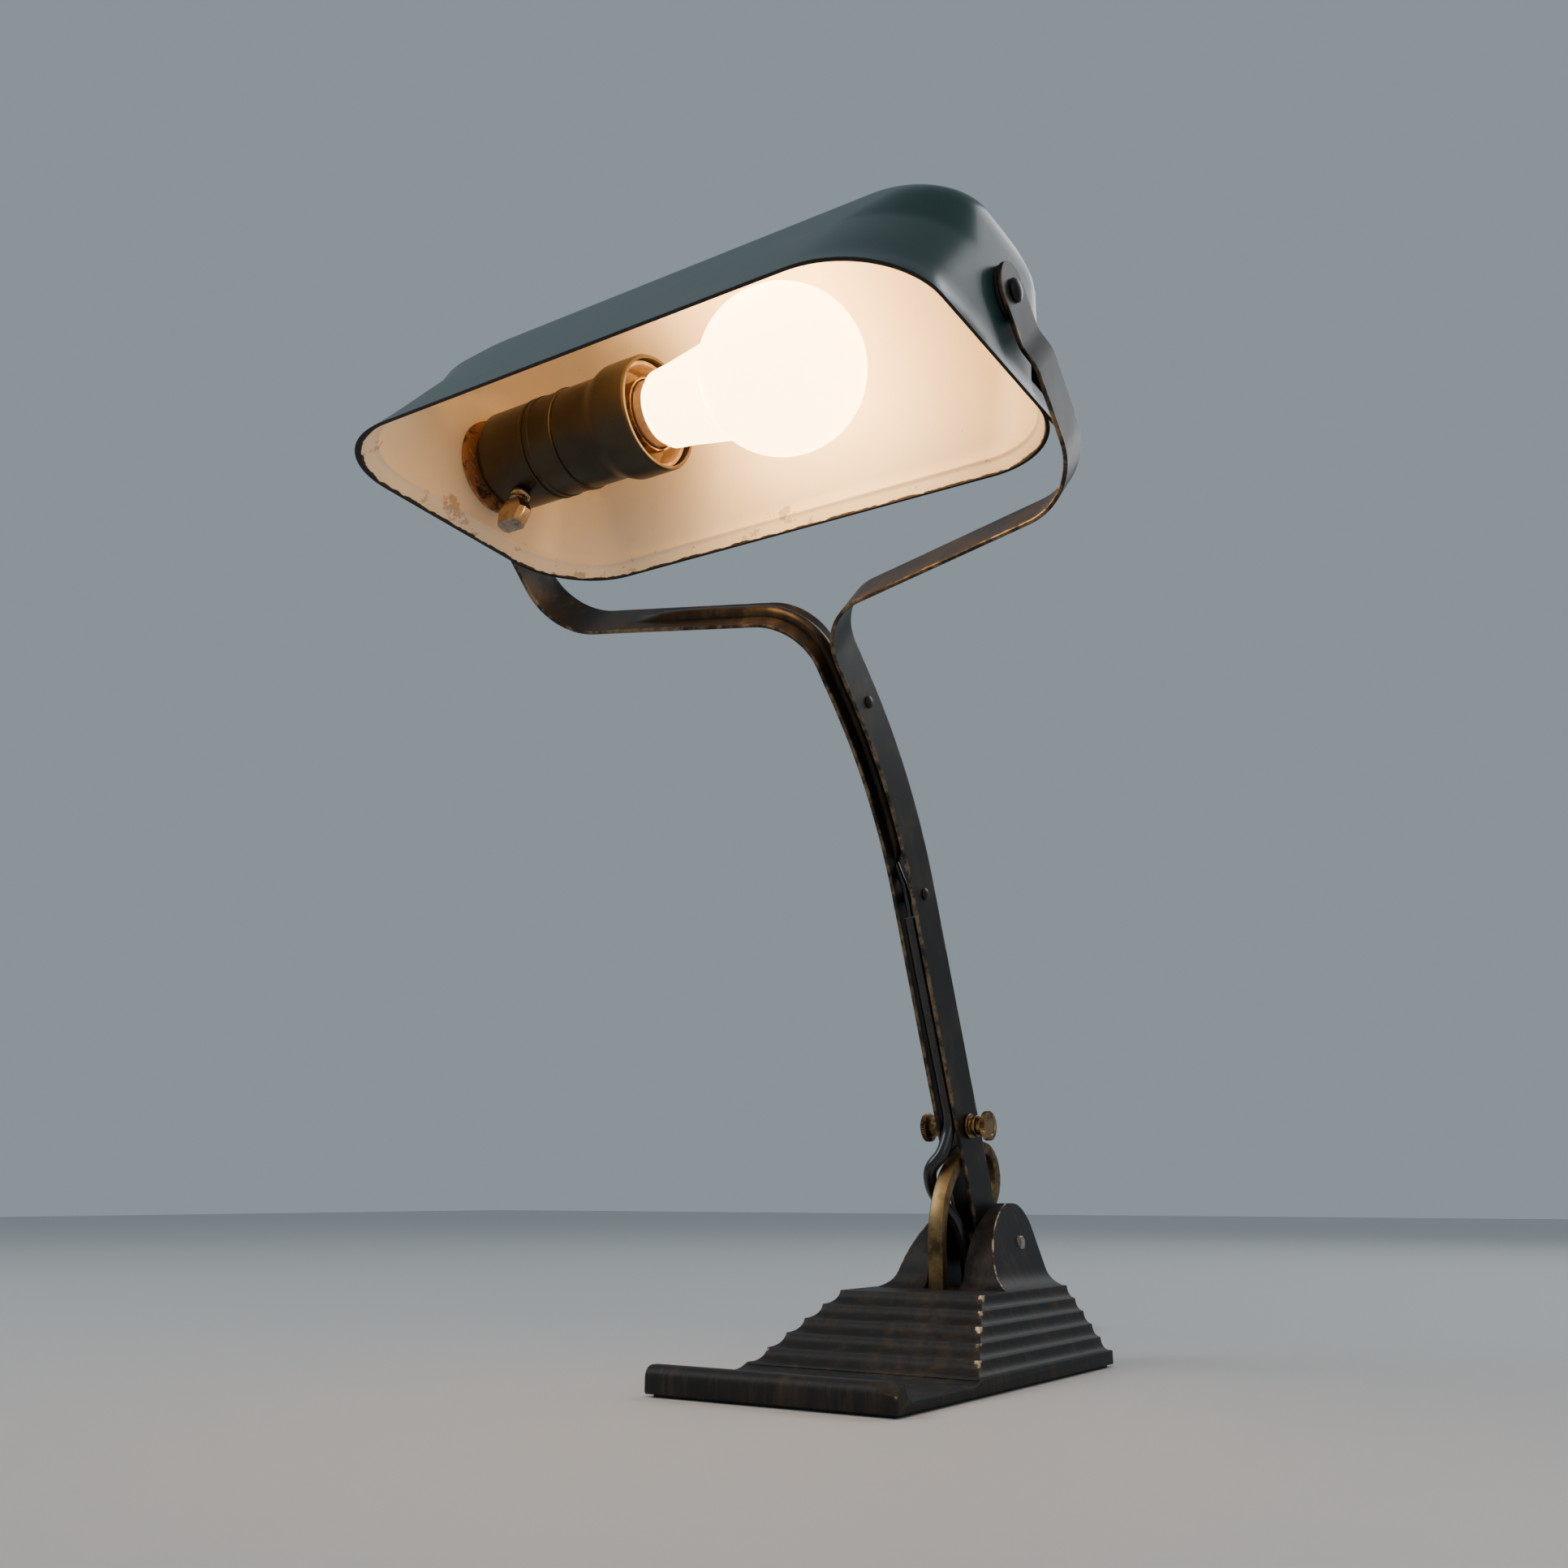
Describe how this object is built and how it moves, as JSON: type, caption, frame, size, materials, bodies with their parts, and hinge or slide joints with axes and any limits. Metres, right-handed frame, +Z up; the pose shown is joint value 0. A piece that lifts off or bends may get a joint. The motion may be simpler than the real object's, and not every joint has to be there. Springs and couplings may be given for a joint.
{
  "type": "adjustable banker's desk lamp",
  "caption": "Adjustable desk lamp: stepped cast base with pen tray, two-strip forked arm on a friction quadrant, tilting enamelled trough shade, keyed lampholder and bulb.",
  "frame": {"origin": "on the table under the middle of the base, in the underside of the felt pad", "axes": "+Z up, +Y to the back of the lamp (the shade reaches over -Y), +X to the lamp's right seen from behind the shade's front, along the hinge and shade pivots"},
  "size_m": [0.2531, 0.472, 0.4022],
  "materials": {
    "cast_base": "black paint, worn through to brown metal on the edges",
    "lacquered_steel": "satin black lacquer",
    "plain_steel": "dull",
    "aged_brass": "aged, satin",
    "dark_bronze": "dark patina, satin",
    "rusty_copper": "rusty, matte",
    "bulb_metal": "satin",
    "green_enamel": "glossy enamel, dark green outside, cream inside",
    "frosted_glass": "frosted",
    "porcelain": "glazed",
    "pale_insulation": "pressed fibre, matte",
    "fibre": "matte",
    "black_rubber": "smooth, slightly glossy",
    "felt": "felt"
  },
  "bodies": {
    "base": {"base_casting": "cast_base", "felt_pad": "felt", "bottom_cover": "plain_steel", "cover_screw_1": "plain_steel", "cover_screw_2": "plain_steel", "cover_screw_3": "plain_steel", "cover_screw_4": "plain_steel", "hinge_pin": "plain_steel", "friction_quadrant": "aged_brass", "cord_bush": "black_rubber", "strain_relief": "black_rubber", "cord_run": "black_rubber", "cord_coil": "black_rubber", "coil_tie": "fibre", "cord_tail": "black_rubber", "plug_body": "black_rubber", "plug_pin_1": "aged_brass", "plug_pin_2": "aged_brass"},
    "arm": {"arm_strip_left": "lacquered_steel", "arm_strip_right": "lacquered_steel", "hinge_washer_left": "aged_brass", "hinge_washer_right": "aged_brass", "rivet_lower": "lacquered_steel", "rivet_upper": "lacquered_steel", "spacer_lower": "aged_brass", "spacer_upper": "aged_brass", "clamp_nut": "aged_brass", "arm_lead": "black_rubber", "cord_loop": "black_rubber"},
    "clamp_screw": {"clamp_screw": "aged_brass"},
    "clamp_knob": {"clamp_knob": "aged_brass"},
    "shade": {"shade_shell": "green_enamel", "pivot_nipple": "plain_steel", "friction_washer_left": "fibre", "friction_washer_right": "fibre", "pivot_locknut": "aged_brass", "toothed_disc": "rusty_copper", "pivot_screw": "lacquered_steel", "pivot_inner_washer": "plain_steel", "pivot_inner_nut": "plain_steel", "lampholder_cap": "dark_bronze", "lampholder_band": "dark_bronze", "lampholder_sleeve": "dark_bronze", "porcelain_core": "porcelain", "screw_shell": "aged_brass", "centre_contact": "aged_brass", "insulating_sleeve": "pale_insulation"},
    "switch_key": {"switch_shaft": "aged_brass", "switch_key": "aged_brass"},
    "bulb": {"bulb_glass": "frosted_glass", "bulb_cap": "bulb_metal", "bulb_contact": "fibre"}
  },
  "joints": [
    {"name": "arm_tilt", "type": "hinge", "parent": "base", "child": "arm", "pos_m": [0, 0.0737, 0.048], "axis": [1, 0, 0], "range_deg": [-25, 35], "deforming": ["cord_loop"]},
    {"name": "clamp_screw_turn", "type": "hinge", "parent": "arm", "child": "clamp_screw", "pos_m": [0, 0.05621, 0.09527], "axis": [1, 0, 0], "continuous": true},
    {"name": "clamp_knob_turn", "type": "hinge", "parent": "arm", "child": "clamp_knob", "pos_m": [0.0125, 0.05621, 0.09527], "axis": [1, 0, 0], "continuous": true},
    {"name": "shade_tilt", "type": "hinge", "parent": "arm", "child": "shade", "pos_m": [0, -0.12022, 0.3573], "axis": [1, 0, 0], "range_deg": [-75, 85]},
    {"name": "switch_key_turn", "type": "hinge", "parent": "shade", "child": "switch_key", "pos_m": [-0.0932, -0.12022, 0.3573], "axis": [0, -0.309, -0.9511], "continuous": true},
    {"name": "bulb_unscrew", "type": "hinge", "parent": "shade", "child": "bulb", "pos_m": [-0.0549, -0.12022, 0.3573], "axis": [1, 0, 0], "continuous": true}
  ]
}
